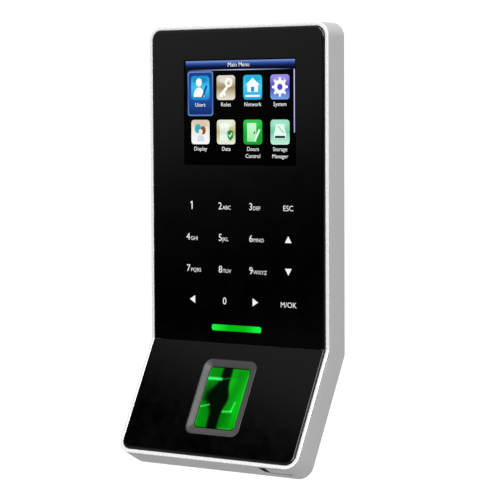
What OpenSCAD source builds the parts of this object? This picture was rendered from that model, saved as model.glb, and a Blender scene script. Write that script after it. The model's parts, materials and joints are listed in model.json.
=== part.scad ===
// Wall-mounted fingerprint and keypad terminal.
// Millimetres, +Z up, the front faces -Y, and the wall is the plane y = 0.
// The origin is the centre of the four wall-screw holes on the wall plate's back face.
// The upright section and the sloped lower section share one local frame each: its
// y runs inwards from the front glass, and its z runs up from the bend line.

/* [Body] */
// Width across the silver frame
body_w = 78.8; // [78:0.2:82]
// Height of the upright front, from the bend to the top edge
upper_h = 114.5; // [114.5:0.5:118]
// Length of the lower section, measured along its slope
lower_l = 44.6; // [44.6:0.2:46]
// Forward tilt of the lower section in degrees
tilt = 28; // [27:1:29]
// Thickness from the front glass to the back edge of the frame
body_t = 11.2; // [11:0.1:11.4]
// Depth of the upright section from the wall to the front glass
depth = 19.5; // [19.5:0.1:20]
// Height of the bend line above the origin
bend_z = -50; // [-51:0.5:-49]
// Corner radius of the silver frame
corner_r = 5.1; // [4:0.1:6]

/* [Front] */
// Thickness of the front glass and of the lower fascia
glass_t = 1.1; // [1:0.05:1.15]
// Visible width of the silver lip around the front
lip_w = 1.4; // [1.3:0.05:1.5]
// Width of the polished bevel round the front panels
bevel = 0.7; // [0.4:0.05:0.9]
// Width of the fingerprint window
sensor_w = 23.2; // [22:0.1:24]
// Length of the fingerprint window along the slope
sensor_l = 28.8; // [28:0.1:29]
// Distance from the bend to the fingerprint window
sensor_drop = 6.4; // [6:0.1:7]

/* [Display and keys] */
// Width of the display's active area
display_w = 48.96; // [48:0.01:50]
// Height of the display's active area
display_h = 36.72; // [36:0.01:37]
// Height of the display's centre above the bend
display_z = 83.2; // [82:0.1:84]
// Height of the upper key row above the bend
key_top = 49.5; // [49:0.1:50]
// Distance from one key row to the next
key_pitch_z = 11.43; // [11:0.01:11.6]
// Distance from one key column to the next
key_pitch_x = 14.28; // [13.6:0.01:14.6]

/* [Wall plate] */
// Width of the steel wall plate
plate_w = 58; // [56:1:60]
// Thickness of the steel wall plate
plate_t = 1.5; // [1.4:0.1:1.6]
// Distance between the wall screws across
wall_dx = 44; // [42:1:46]
// Distance between the wall screws up and down
wall_dz = 84; // [80:1:90]
// Diameter of the wall-screw holes
wall_hole_d = 4.2; // [3.6:0.1:4.6]
// Width of the cable opening
cable_w = 36; // [34:1:38]
// Height of the cable opening
cable_h = 34; // [32:1:36]

/* [Hidden] */
$fn = 48;
far = 200;
fit = 0.05;

// main planes, as depths behind the front glass
front_y = -depth;
ring_y = 0.4;
lip_t = 0.5;
groove_w = 0.4;
groove_d = 0.35;
frame_y = ring_y + lip_t + groove_w;
wall = 1.6;
ledge_y = 1.8;
ledge_w = 2.2;
cover_t = 1.8;
cover_gap = 0.5;
back_y = depth - plate_t - cover_gap;

// rear housing, which stands behind the frame, is narrower than it and tapers below the bend
house_inset = 6.4;
house_top = upper_h - house_inset;
house_bottom = -33;
house_chamfer = 3;
house_r = 3;
house_w = body_w - 2 * house_inset;
tail_w = 39;
tail_top = -3;

// the cover hangs by the rolled upper edges of its slots, which are the swing axis
hook_z = house_top - 6.5;
hook_x = 17;
hook_w = 8;
hook_reach = 4.6;
hook_rise = 2.4;
edge_r = cover_t / 2;
slot_w = hook_w + 1.2;
slot_h = 5.2;
plate_top = hook_z - edge_r - 0.1;
plate_tail = 15;
plate_hole_r = 3;

// security screw
lock_y = 12.5;
lock_flange_z = -22.5;
lock_flange_w = 12;
lock_r = 1.5;
lock_head_r = 2.7;

// boards
board_y = 5.6;
board_t = 1.6;
board_back = board_y + board_t;
board_w = 62;
board_low = 2;
board_high = 100;
board_screw_x = 26;
board_screw_z = [28, 86];

// parts on the back of the main board: x, height and size of each, and how far it stands out
processor_at = [6, 71, 14, 14, 1.4];
memory_at = [[22, 66.5, 9, 9, 1.1], [22, 77.5, 9, 9, 1.1]];
wifi_at = [-6, 89, 13, 14, 2.4];
antenna_at = [10, 95, 12, 6, 1.2];
relay_at = [-14, 14.5, 10, 9, 7.6];
capacitor_x = [2, 9.5];
capacitor_z = 22;
capacitor_r = 3.1;
capacitor_l = 5.4;
coin_x = 13;
coin_z = 54;
coin_r = 6.2;
coin_low = 0.6;
coin_t = 2;
speaker_x = -18;
speaker_z = 72;
speaker_w = 16;
speaker_h = 11;
speaker_y = 11.2;
speaker_back = 14.4;

// sensor module, in the sloped frame
sensor_z = -(sensor_drop + sensor_l / 2);
glass_w = 18;
glass_l = 23.6;
glass_y = 0.8;
bezel_back = 2.4;
bezel_flange = 1.2;
prism_w = 19.2;
prism_l = 25.2;
prism_back = 4.9;
module_back = 7.2;
board_thin = 0.8;

// USB port and its door, in the sloped frame
port_x0 = 25.5;
port_x1 = 34.7;
port_y0 = 1.8;
port_y1 = 6.7;
door_t = 1.0;
door_pivot_x = port_x1 - 1.2;
door_pivot_z = door_t - lower_l;
door_clear = 0.15;
door_gap = 0.5;
notch_l = 3.1;
usb_x = 29.3;
usb_w = 7.8;
usb_t = 2.9;
usb_y = 4.25;
usb_low = 2.2 - lower_l;

// sprung pieces
tamper_x = 12;
tamper_z = 10;
tamper_r = 1.6;
tamper_switch_h = 4.4;
tamper_flange_y = back_y - cover_t - 1.1;
reset_x = -13;
reset_z = 32.2;
reset_r = 1.4;

// connector bay
bay_w = 34;
bay_h = 24;
bay_z = 47;
header_low = bay_z - bay_h / 2 + 1;
header_h = 6;
gasket_w = 42;
gasket_h = 40;
gasket_rim = 2;

// ---- frames and shared shapes ----

module upright() {
  translate([0, front_y, bend_z]) children();
}

module sloped() {
  translate([0, front_y, bend_z]) rotate([-tilt, 0, 0]) children();
}

function slope_pt(y, z) = [y * cos(tilt) + z * sin(tilt), z * cos(tilt) - y * sin(tilt)];
function bend_pt(y) = [y, -y * tan(tilt / 2)];
function arc(cx, cz, r, a0, n = 14) =
  [for (i = [0:n]) [cx + r * cos(a0 + 90 * i / n), cz + r * sin(a0 + 90 * i / n)]];

// outline of the upright section at an inset, open far below
function top_outline(inset) =
  let (w = body_w / 2 - inset, h = upper_h - inset, r = max(corner_r - inset, 0.6))
  concat([[-w, -far], [w, -far]], arc(w - r, h - r, r, 0), arc(r - w, h - r, r, 90));

// outline of the sloped section at an inset, open far above
function end_outline(inset) =
  let (w = body_w / 2 - inset, l = lower_l - inset, r = max(corner_r - inset, 0.6))
  concat([[w, far], [-w, far]], arc(r - w, r - l, r, 180), arc(w - r, r - l, r, 270));

module along_x(points, w) {
  translate([-w / 2, 0, 0]) rotate([90, 0, 90]) linear_extrude(w) polygon(points);
}

module along_y(points, y0, y1) {
  translate([0, y1, 0]) rotate([90, 0, 0]) linear_extrude(y1 - y0) polygon(points);
}

// layer that follows both sections between two depths, at an inset from the outline
module bent(inset, y0, y1) {
  intersection() {
    along_x([[y0, far], bend_pt(y0), slope_pt(y0, -far),
             slope_pt(y1, -far), bend_pt(y1), [y1, far]], body_w + 20);
    along_y(top_outline(inset), -far, far);
    rotate([-tilt, 0, 0]) along_y(end_outline(inset), -far, far);
  }
}

// box from its middle across, and its two ends in depth and height
module slab(x, w, y0, y1, z0, z1) {
  translate([x - w / 2, y0, z0]) cube([w, y1 - y0, z1 - z0]);
}

// rod along the depth of a section
module rod(x, z, r, y0, y1) {
  translate([x, y1, z]) rotate([90, 0, 0]) cylinder(r = r, h = y1 - y0);
}

function rounded(w, l, r, n = 8) =
  concat(arc(w / 2 - r, l / 2 - r, r, 0, n), arc(r - w / 2, l / 2 - r, r, 90, n),
         arc(r - w / 2, r - l / 2, r, 180, n), arc(w / 2 - r, r - l / 2, r, 270, n));

// rounded plate standing in a section, centred at x and z
module tile(x, z, w, l, r, y0, y1) {
  translate([x, 0, z]) along_y(rounded(w, l, r), y0, y1);
}

// ---- wall plate ----

function plate_outline(top, low) =
  let (w = plate_w / 2, r = 3)
  concat([[-w, bend_z], [-plate_tail, low], [plate_tail, low], [w, bend_z]],
         arc(w - r, top - r, r, 0), arc(r - w, top - r, r, 90));

module wall_plate() {
  top = bend_z + plate_top;
  low = bend_z + lock_flange_z;
  color("silver") difference() {
    union() {
      along_y(plate_outline(top, low), -plate_t, 0);
      for (s = [-1, 1]) {
        slab(s * hook_x, hook_w, -plate_t - hook_reach, -plate_t / 2, top - plate_t, top);
        slab(s * hook_x, hook_w, -plate_t - hook_reach, -hook_reach, top - plate_t, top + hook_rise);
      }
      slab(0, lock_flange_w, lock_y - depth - 3.5, -plate_t / 2, low, low + plate_t);
    }
    for (x = [-1, 1], z = [-1, 1]) {
      rod(x * wall_dx / 2, z * wall_dz / 2, wall_hole_d / 2, -plate_t - 1, 1);
    }
    tile(0, bend_z + bay_z, cable_w, cable_h, plate_hole_r, -plate_t - 1, 1);
    rod(tamper_x, bend_z + tamper_z, tamper_r + 0.6, -plate_t - 1, 1);
    translate([0, lock_y - depth, low - 1]) cylinder(r = lock_r + 0.2, h = plate_t + 2);
  }
}

module lock_nut() {
  z = bend_z + lock_flange_z + plate_t;
  color("silver") translate([0, lock_y - depth, z]) difference() {
    cylinder(r = 2.8, h = 2);
    translate([0, 0, -1]) cylinder(r = lock_r + 0.2, h = 4);
  }
}

// ---- casing ----

module trim_ring() {
  color("white") upright() difference() {
    union() {
      bent(0, ring_y, ring_y + lip_t);
      bent(groove_d, ring_y + lip_t / 2, frame_y);
      bent(wall + fit, frame_y - lip_t / 2, ledge_y);
    }
    bent(lip_w - fit, -1, glass_t);
    bent(lip_w + ledge_w, -1, ledge_y + 1);
  }
}

boss_x = body_w / 2 - 4;
boss_z = [10, 60, upper_h - 4];
boss_end_z = 4 - lower_l;
boss_r = 2.6;

module case_boss(x, z) {
  rod(x, z, boss_r, ledge_y + fit, body_t - cover_t - fit);
}

module mid_frame() {
  color("silver") difference() {
    union() {
      upright() difference() {
        bent(0, frame_y, body_t);
        bent(wall, frame_y - 1, body_t + 1);
      }
      for (s = [-1, 1]) {
        upright() for (z = boss_z) case_boss(s * boss_x, z);
      }
      sloped() case_boss(-boss_x, boss_end_z);
    }
    for (s = [-1, 1]) {
      upright() for (z = boss_z) rod(s * boss_x, z, 1, ledge_y, body_t);
    }
    sloped() rod(-boss_x, boss_end_z, 1, ledge_y, body_t);
    sloped() port_cut();
  }
}

// opening for the door, with a three-cornered finger notch at its free end
module port_cut() {
  slab((port_x0 + port_x1) / 2, port_x1 - port_x0, port_y0, port_y1, -lower_l - 1, wall - lower_l + 1);
  translate([0, 0, -lower_l - 1]) linear_extrude(wall + 2)
    polygon([[port_x0 - notch_l, port_y0 + 0.2], [port_x0 + 0.5, port_y0 + 0.2],
             [port_x0 + 0.5, port_y1 - 0.2],
             [port_x0 - 0.7 * notch_l, port_y1 - 0.6]]);
}

// side view of the rear housing; grow moves the outline outwards
function house_side(grow, front) =
  let (yb = back_y + grow, zt = house_top + grow, zb = house_bottom - grow, c = house_chamfer,
       s = (-front * sin(tilt) - zb) / cos(tilt))
  [[front, zt], [yb - c, zt], [yb, zt - c], [yb, zb], slope_pt(front, -s), bend_pt(front)];

module house_block(grow, front) {
  w = house_w / 2 + grow;
  r = house_r + grow / 2;
  b = back_y + grow;
  t = tail_w / 2 + grow;
  intersection() {
    along_x(house_side(grow, front), house_w + 10);
    translate([0, 0, -far]) linear_extrude(2 * far)
      polygon(concat([[-w, -far], [w, -far]], arc(w - r, b - r, r, 0), arc(r - w, b - r, r, 90)));
    along_y([[-w - 1, far], [-w - 1, tail_top + 1], [-w, tail_top], [-t, house_bottom - 1],
             [t, house_bottom - 1], [w, tail_top], [w + 1, tail_top + 1], [w + 1, far]], -far, far);
  }
}

module rear_cover() {
  color("dimgray") difference() {
    union() {
      upright() difference() {
        union() {
          bent(wall + fit, body_t - cover_t, body_t);
          house_block(0, body_t - cover_t / 2);
        }
        house_block(-cover_t, body_t - cover_t - 3);
      }
      upright() translate([0, lock_y, house_bottom]) cylinder(r = 4.4, h = 8);
      upright() for (x = [-1, 1], z = board_screw_z) {
        rod(x * board_screw_x, z, 2.4, board_back + fit, back_y - cover_t / 2);
      }
    }
    upright() {
      // slots for the hooks and for the lock flange
      for (s = [-1, 1]) difference() {
        slab(s * hook_x, slot_w, back_y - cover_t - 1, back_y + 1, hook_z - slot_h, hook_z);
        translate([s * hook_x - slot_w / 2 - 1, back_y - edge_r, hook_z]) rotate([0, 90, 0])
          cylinder(r = edge_r, h = slot_w + 2);
      }
      slab(0, lock_flange_w + 2, back_y - cover_t - 1, back_y + 1, lock_flange_z - 1.6, lock_flange_z + 5.2);
      // captive screw
      translate([0, lock_y, house_bottom - 1]) cylinder(r = lock_head_r + 0.15, h = 7.5);
      translate([0, lock_y, house_bottom]) cylinder(r = lock_r + 0.08, h = 9);
      // connector bay, tamper plunger and reset button
      tile(0, bay_z, bay_w, bay_h, 1.5, back_y - cover_t - 1, back_y + 1);
      rod(tamper_x, tamper_z, tamper_r + 0.08, back_y - cover_t - 1, back_y + 1);
      rod(reset_x, reset_z, reset_r + 0.08, back_y - cover_t - 1, back_y + 1);
      // pilot holes for the board screws
      for (x = [-1, 1], z = board_screw_z) rod(x * board_screw_x, z, 0.8, board_back, board_back + 5);
      // sound holes behind the speaker
      for (i = [-2:2], j = [-1:1]) {
        rod(speaker_x + 2.6 * i, speaker_z + 2.6 * j, 0.7, back_y - cover_t - 1, back_y + 1);
      }
      // screw holes in the flange
      for (s = [-1, 1], z = boss_z) {
        rod(s * boss_x, z, 1.35, body_t - cover_t - 1, body_t + 1);
      }
    }
    sloped() {
      rod(-boss_x, boss_end_z, 1.35, body_t - cover_t - 1, body_t + 1);
      slab(usb_x + 1, 14, body_t - cover_t - 1, body_t - 0.7, -lower_l, 14 - lower_l);
    }
  }
}

module wall_gasket() {
  color("black") upright() difference() {
    tile(0, bay_z, gasket_w, gasket_h, 3, back_y, back_y + cover_gap - 0.1);
    tile(0, bay_z, gasket_w - 2 * gasket_rim, gasket_h - 2 * gasket_rim, 2, back_y - 1, back_y + 1);
  }
}

// front panel blank: full outline at the back, inset by the bevel at the front
module bevelled_face(outline_front, outline_back) {
  hull() {
    along_y(outline_front, 0, 0.02);
    along_y(outline_back, bevel * 0.8, glass_t);
  }
}

function panel_top(inset) =
  let (w = body_w / 2 - inset, h = upper_h - inset, r = corner_r - inset)
  concat([[-w, 0.08], [w, 0.08]], arc(w - r, h - r, r, 0), arc(r - w, h - r, r, 90));
function panel_end(inset) =
  let (w = body_w / 2 - inset, l = lower_l - inset, r = corner_r - inset)
  concat([[w, -0.08], [-w, -0.08]], arc(r - w, r - l, r, 180), arc(w - r, r - l, r, 270));

module upper_front_panel() {
  color([0.03, 0.03, 0.03]) upright() bevelled_face(panel_top(lip_w + bevel), panel_top(lip_w));
}

module lower_front_panel() {
  color([0.03, 0.03, 0.03]) sloped() difference() {
    bevelled_face(panel_end(lip_w + bevel), panel_end(lip_w));
    tile(0, sensor_z, sensor_w + 0.1, sensor_l + 0.1, 3, -1, glass_t + 1);
    // relief so that the two panels clear each other behind the bend
    rotate([tilt / 2, 0, 0]) translate([-body_w, 0, 0.02]) cube([2 * body_w, 10, 10]);
  }
}

// ---- display and keypad ----

// the cell's borders are wider than its picture, most of all along the lower edge
cell_low = display_z - display_h / 2 - 4;
cell_high = display_z + display_h / 2 + 1.5;
cell_w = display_w + 3;
cell_back = 2.7;
tray_back = 4.2;

module display_cell() {
  color([0.1, 0.15, 0.4]) upright() slab(0, cell_w, glass_t + fit, cell_back, cell_low, cell_high);
}

module display_backlight() {
  color("gainsboro") upright() difference() {
    slab(0, cell_w + 2, glass_t + fit, tray_back, cell_low - 1, cell_high + 1);
    slab(0, cell_w + 2 * fit, glass_t - 1, cell_back + fit, cell_low - fit, cell_high + fit);
  }
}

module display_flex() {
  z = cell_low - 1;
  a = tray_back + fit;
  b = board_y - 0.2;
  t = 0.15;
  color("orange") upright() along_x([[a, z + 4], [a, z - 1.5], [b, z - 2.6], [b, z - 7],
    [b + t, z - 7], [b + t, z - 2.4], [a + t, z - 1.3], [a + t, z + 4]], 18);
}

keys_mid = key_top - 1.5 * key_pitch_z;

keys_w = 4 * key_pitch_x;
keys_h = 46;
touch_back = 1.9;
guide_back = 3.6;
led_pocket = 2;

module touch_board() {
  color("darkgreen") upright() slab(0, keys_w + 6, glass_t + fit, touch_back,
    keys_mid - keys_h / 2 - 1, keys_mid + keys_h / 2 + 1);
}

module keypad_light_guide() {
  low = keys_mid - keys_h / 2;
  color("white") upright() difference() {
    slab(0, keys_w + 4, touch_back + fit, guide_back, low, low + keys_h);
    for (i = [-2:1]) slab(key_pitch_x * (i + 0.5), 3, touch_back, guide_back + 1, low - 1, low + led_pocket);
  }
}

module keypad_leds() {
  low = keys_mid - keys_h / 2;
  color("lightyellow") upright() for (i = [-2:1]) {
    slab(key_pitch_x * (i + 0.5), 2.8, 2.2, 3.4, low + 0.2, low + 1.8);
  }
}

module touch_flex() {
  z = keys_mid + keys_h / 2 + 0.2;
  a = touch_back + 0.03;
  b = board_y - 0.22;
  t = 0.15;
  color("orange") upright() translate([24, 0, 0]) along_x([[a, z], [a, z + 1.9], [b, z + 3.4], [b, z + 9],
    [b + t, z + 9], [b + t, z + 3.2], [a + t, z + 1.7], [a + t, z]], 8);
}

module card_antenna() {
  color("darkgreen") upright() difference() {
    tile(0, keys_mid, 46, 44, 3, 4.0, 4.8);
    tile(0, keys_mid, 34, 32, 3, 3, 6);
  }
}

module status_light_bar() {
  color([0, 0.9, 0.2]) upright() tile(0, 5.4, 22.4, 2.3, 1.14, glass_t + fit, 4.3);
}

module status_leds() {
  color("lightyellow") upright() for (i = [-1:1]) slab(i * 8, 2, 4.4, board_y, 4.4, 6.4);
}

// ---- main board and what it carries ----

module main_board() {
  color("darkgreen") upright() difference() {
    tile(0, (board_low + board_high) / 2, board_w, board_high - board_low, 2, board_y, board_back);
    for (x = [-1, 1], z = board_screw_z) rod(x * board_screw_x, z, 1.15, board_y - 1, board_back + 1);
  }
}

// block on the back of the board, given as x, z, width, height and how far it stands out
module on_board(b) {
  slab(b[0], b[2], board_back, board_back + b[4], b[1] - b[3] / 2, b[1] + b[3] / 2);
}

module processor() {
  color([0.12, 0.12, 0.12]) upright() on_board(processor_at);
}

module memory_chips() {
  color([0.12, 0.12, 0.12]) upright() for (b = memory_at) on_board(b);
}

module wifi_module() {
  color("silver") upright() on_board(wifi_at);
}

module wifi_antenna() {
  color("gold") upright() on_board(antenna_at);
}

module lock_relay() {
  color([0.1, 0.1, 0.12]) upright() on_board(relay_at);
}

module speaker() {
  color([0.2, 0.2, 0.2]) upright() difference() {
    tile(speaker_x, speaker_z, speaker_w, speaker_h, 2, speaker_y, speaker_back);
    tile(speaker_x, speaker_z, speaker_w - 3, speaker_h - 3, 1.5, speaker_back - 0.4, speaker_back + 1);
  }
}

module speaker_seal() {
  color("black") upright() difference() {
    tile(speaker_x, speaker_z, speaker_w, speaker_h, 2, speaker_back, back_y - cover_t);
    tile(speaker_x, speaker_z, speaker_w - 2.6, speaker_h - 2.6, 1.5, speaker_back - 1, back_y);
  }
}

module power_capacitors() {
  color("silver") upright() for (x = capacitor_x) {
    rod(x, capacitor_z, capacitor_r, board_back, board_back + capacitor_l);
  }
}

module coin_cell() {
  y = board_back + coin_low;
  color("silver") upright() rod(coin_x, coin_z, coin_r, y, y + coin_t);
}

module coin_cell_holder() {
  top = coin_z + coin_r + 1;
  color([0.15, 0.15, 0.15]) upright() difference() {
    slab(coin_x, 2 * coin_r + 2.6, board_back, board_back + 3, coin_z - coin_r - 0.8, top);
    rod(coin_x, coin_z, coin_r + 0.1, board_back + coin_low, board_back + 4);
  }
}

// shrouded header, open towards the wall, with its row of pins
module header(x, w, pins) {
  color("ivory") upright() difference() {
    slab(x, w, board_back, board_back + 8, header_low, header_low + header_h);
    slab(x, w - 1.4, board_back + 1.5, board_back + 9, header_low + 0.7, header_low + header_h - 0.7);
  }
  color("gold") upright() for (i = [0:pins - 1]) {
    slab(x + 2 * (i - (pins - 1) / 2), 0.6, board_back + 1, board_back + 6.4,
      header_low + header_h / 2 - 0.3, header_low + header_h / 2 + 0.3);
  }
}

module power_connector() {
  header(-11.5, 6, 2);
}

module lock_connector() {
  header(0, 14, 6);
}

module network_connector() {
  header(12, 8, 3);
}

// ribbon from a board in the sloped section round the bend to the back of the main board
module ribbon(x, w, z0, z1) {
  y = module_back + board_thin + fit;
  b = board_back + 0.1;
  t = 0.15;
  translate([x, 0, 0]) along_x([slope_pt(y, z0), slope_pt(y, -4), [b, board_low - 0.8], [b, z1],
    [b + t, z1], [b + t, board_low - 0.8], slope_pt(y + t, -4), slope_pt(y + t, z0)], w);
}

// ---- fingerprint sensor, in the sloped frame ----

module sensor_bezel() {
  color([0.42, 0.4, 0.41]) sloped() difference() {
    union() {
      tile(0, sensor_z, sensor_w, sensor_l, 3, 0, glass_t + fit);
      tile(0, sensor_z, sensor_w + 2 * bezel_flange, sensor_l + 2 * bezel_flange, 3,
           glass_t + fit, bezel_back);
    }
    hull() {
      tile(0, sensor_z, sensor_w - 0.6, sensor_l - 0.6, 2.7, -0.1, 0);
      tile(0, sensor_z, glass_w, glass_l, 1.6, glass_y, glass_y + 0.1);
    }
    tile(0, sensor_z, glass_w, glass_l, 1.6, glass_y - 0.5, bezel_back + 1);
  }
}

module sensor_prism() {
  color([0.1, 0.75, 0.25]) sloped() difference() {
    union() {
      tile(0, sensor_z, glass_w - 0.2, glass_l - 0.2, 1.55, glass_y, bezel_back + fit);
      slab(0, prism_w, bezel_back + fit, prism_back, sensor_z - prism_l / 2, sensor_z + prism_l / 2);
    }
    // slanted mirror face
    translate([0, prism_back, sensor_z + prism_l / 2]) rotate([-4, 0, 0]) slab(0, 30, 0, 10, -40, 5);
  }
}

module sensor_housing() {
  l = sensor_l / 2 + bezel_flange - 0.6;
  color([0.1, 0.1, 0.1]) sloped() difference() {
    slab(0, sensor_w + 2, bezel_back + fit, module_back, sensor_z - l, sensor_z + l);
    slab(0, prism_w + 0.1, glass_y, module_back + 1,
         sensor_z - prism_l / 2 - 0.1, sensor_z + prism_l / 2 + 0.1);
  }
}

module sensor_board() {
  color("darkgreen") sloped() slab(0, sensor_w + 1, module_back, module_back + board_thin,
    sensor_z - 14.5, sensor_z + 14.5);
}

module sensor_camera() {
  color([0.15, 0.15, 0.15]) sloped() difference() {
    union() {
      slab(0, 8, module_back - 1.1, module_back, sensor_z - 4, sensor_z + 4);
      rod(0, sensor_z, 2.6, module_back - 2.1, module_back - 1);
    }
    rod(0, sensor_z, 1.2, module_back - 3, module_back - 1.4);
  }
}

module sensor_leds() {
  color([0.3, 1, 0.4]) sloped() for (x = [-1, 1], z = [-1, 1]) {
    slab(x * 7, 2, module_back - 0.9, module_back, sensor_z + z * 9 - 1, sensor_z + z * 9 + 1);
  }
}

module sensor_flex() {
  color("orange") upright() ribbon(0, 10, -14, 9);
}

// ---- USB port ----

module usb_board() {
  color("darkgreen") sloped() slab(usb_x, 11, usb_y + usb_t / 2 + fit, module_back + board_thin,
    usb_low + 1, usb_low + 11);
}

module usb_socket() {
  color("silver") sloped() difference() {
    slab(usb_x, usb_w, usb_y - usb_t / 2, usb_y + usb_t / 2, usb_low, usb_low + 5.6);
    slab(usb_x, usb_w - 0.5, usb_y - usb_t / 2 + 0.25, usb_y + usb_t / 2 - 0.25, usb_low - 1, usb_low + 5.2);
  }
}

module usb_contacts() {
  y = usb_y - 0.3;
  color("white") sloped() slab(usb_x, usb_w - 2.2, y - 0.4, y + 0.4, usb_low + 0.8, usb_low + 5.15);
  color("gold") sloped() for (i = [-2:2]) slab(usb_x + i, 0.4, y + 0.4, y + 0.5, usb_low + 1, usb_low + 5);
}

module usb_flex() {
  color("orange") upright() ribbon(usb_x - 2, 6, usb_low + 4, 9);
}

// flap with a barrel at its right end; the pin passes through the barrel
module usb_door() {
  color("silver") sloped() difference() {
    union() {
      translate([port_x0 + door_clear, port_y0 + door_clear, -lower_l])
        cube([door_pivot_x - port_x0 - door_clear, port_y1 - port_y0 - door_clear - door_gap, door_t]);
      rod_on_pivot(door_t, port_y0 + door_clear, port_y1 - door_gap);
    }
    rod_on_pivot(0.55, port_y0 - 1, port_y1 + 1);
  }
}

module rod_on_pivot(r, y0, y1) {
  rod(door_pivot_x, door_pivot_z, r, y0, y1);
}

module usb_door_pin() {
  color("gray") sloped() rod_on_pivot(0.5, port_y0 + fit, port_y1 - fit);
}

// ---- sprung pieces and screws ----

module tamper_switch() {
  color([0.15, 0.15, 0.15]) upright() difference() {
    slab(tamper_x, 7, board_back, board_back + tamper_switch_h, tamper_z - 1.8, tamper_z + 8);
    rod(tamper_x, tamper_z, 2.6, board_back + 1.2, board_back + 5);
    slab(tamper_x, 8, board_back + 1.2, board_back + 5, tamper_z - 3, tamper_z);
  }
}

// the flange under the cover wall keeps the plunger in; its tip is level with the wall
module tamper_plunger() {
  color("white") upright() union() {
    rod(tamper_x, tamper_z, tamper_r, board_back + 3.2, depth);
    rod(tamper_x, tamper_z, 2.3, tamper_flange_y, tamper_flange_y + 1);
  }
}

// plain rings between the switch and the plunger's flange
module tamper_spring() {
  rings = 5;
  wire_r = 0.18;
  y0 = board_back + tamper_switch_h + wire_r + fit;
  y1 = tamper_flange_y - wire_r - fit;
  color("silver") upright() for (i = [0:rings - 1]) {
    translate([tamper_x, y0 + (y1 - y0) * i / (rings - 1), tamper_z]) rotate([90, 0, 0])
      rotate_extrude() translate([2.1, 0]) circle(r = wire_r, $fn = 16);
  }
}

module reset_switch() {
  color([0.15, 0.15, 0.15]) upright()
    slab(reset_x, 6, board_back, board_back + 3.6, reset_z - 3, reset_z + 3);
}

module reset_button() {
  color("white") upright() union() {
    rod(reset_x, reset_z, reset_r, board_back + 4.1, back_y - 0.2);
    rod(reset_x, reset_z, 2.2, board_back + 4.1, board_back + 5);
  }
}

module security_screw() {
  tip = lock_flange_z - 1;
  color("silver") upright() translate([0, lock_y, 0]) difference() {
    union() {
      translate([0, 0, house_bottom]) cylinder(r = lock_head_r, h = 2);
      translate([0, 0, house_bottom + 1]) cylinder(r = lock_r, h = tip - house_bottom - 1);
    }
    translate([0, 0, house_bottom - 1]) cylinder(r = 1.2, h = 2.2, $fn = 6);
  }
}

module small_screw(x, z, y, r, l, head_r) {
  rod(x, z, head_r, y - 1.3, y);
  rod(x, z, r, y - 0.5, y + l);
}

module board_screws() {
  color("silver") upright() for (x = [-1, 1], z = board_screw_z) {
    small_screw(x * board_screw_x, z, board_y, 0.78, 5.8, 1.9);
  }
}

module case_screw(x, z) {
  difference() {
    union() {
      rod(x, z, 1.95, body_t, body_t + 1.3);
      rod(x, z, 0.98, body_t - 6, body_t + 0.5);
    }
    translate([x, body_t + 1.8, z]) rotate([90, 0, 0]) cylinder(r = 0.9, h = 1.2, $fn = 6);
  }
}

module case_screws() {
  color("gray") {
    upright() for (s = [-1, 1], z = boss_z) case_screw(s * boss_x, z);
    sloped() case_screw(-boss_x, boss_end_z);
  }
}

wall_plate();
lock_nut();
trim_ring();
mid_frame();
rear_cover();
wall_gasket();
upper_front_panel();
lower_front_panel();
display_cell();
display_backlight();
display_flex();
touch_board();
keypad_light_guide();
keypad_leds();
touch_flex();
card_antenna();
status_light_bar();
status_leds();
main_board();
processor();
memory_chips();
wifi_module();
wifi_antenna();
lock_relay();
speaker();
speaker_seal();
power_capacitors();
coin_cell();
coin_cell_holder();
power_connector();
lock_connector();
network_connector();
sensor_bezel();
sensor_prism();
sensor_housing();
sensor_board();
sensor_camera();
sensor_leds();
sensor_flex();
usb_board();
usb_socket();
usb_contacts();
usb_flex();
usb_door();
usb_door_pin();
tamper_switch();
tamper_plunger();
tamper_spring();
reset_switch();
reset_button();
security_screw();
board_screws();
case_screws();
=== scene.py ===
# Looks of a wall-mounted fingerprint and keypad terminal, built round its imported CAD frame.
import json
from math import atan2, cos, pi, radians, sin, tan

import bmesh
import bpy
import numpy as np
from mathutils import Matrix, Vector
from mathutils.geometry import tessellate_polygon


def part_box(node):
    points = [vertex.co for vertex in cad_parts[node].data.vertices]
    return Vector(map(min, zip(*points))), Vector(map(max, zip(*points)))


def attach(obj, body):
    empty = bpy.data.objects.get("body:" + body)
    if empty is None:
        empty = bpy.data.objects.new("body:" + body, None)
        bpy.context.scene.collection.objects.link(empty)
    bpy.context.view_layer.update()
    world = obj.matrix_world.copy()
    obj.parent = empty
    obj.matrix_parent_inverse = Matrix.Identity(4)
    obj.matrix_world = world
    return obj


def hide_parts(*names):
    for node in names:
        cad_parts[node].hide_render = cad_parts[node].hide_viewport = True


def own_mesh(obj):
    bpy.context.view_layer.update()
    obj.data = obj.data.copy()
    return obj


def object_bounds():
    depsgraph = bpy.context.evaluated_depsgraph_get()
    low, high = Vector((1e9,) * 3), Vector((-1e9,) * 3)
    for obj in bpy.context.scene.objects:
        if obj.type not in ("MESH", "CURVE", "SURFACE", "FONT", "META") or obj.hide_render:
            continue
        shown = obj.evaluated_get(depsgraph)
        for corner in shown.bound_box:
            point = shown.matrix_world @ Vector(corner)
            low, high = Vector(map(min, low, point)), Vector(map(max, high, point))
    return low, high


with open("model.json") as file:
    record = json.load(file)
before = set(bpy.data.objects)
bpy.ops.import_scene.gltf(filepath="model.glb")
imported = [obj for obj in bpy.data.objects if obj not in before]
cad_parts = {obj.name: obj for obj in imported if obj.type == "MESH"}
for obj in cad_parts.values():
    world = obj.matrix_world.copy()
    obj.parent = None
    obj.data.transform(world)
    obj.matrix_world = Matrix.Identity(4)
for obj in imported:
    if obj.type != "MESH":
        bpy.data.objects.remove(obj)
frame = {"nodes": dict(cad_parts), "record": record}
cadBounds = [list(corner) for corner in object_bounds()]
nodes = frame["nodes"]
mm = 0.001
print("frame loaded:", len(nodes), "CAD nodes")


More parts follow.
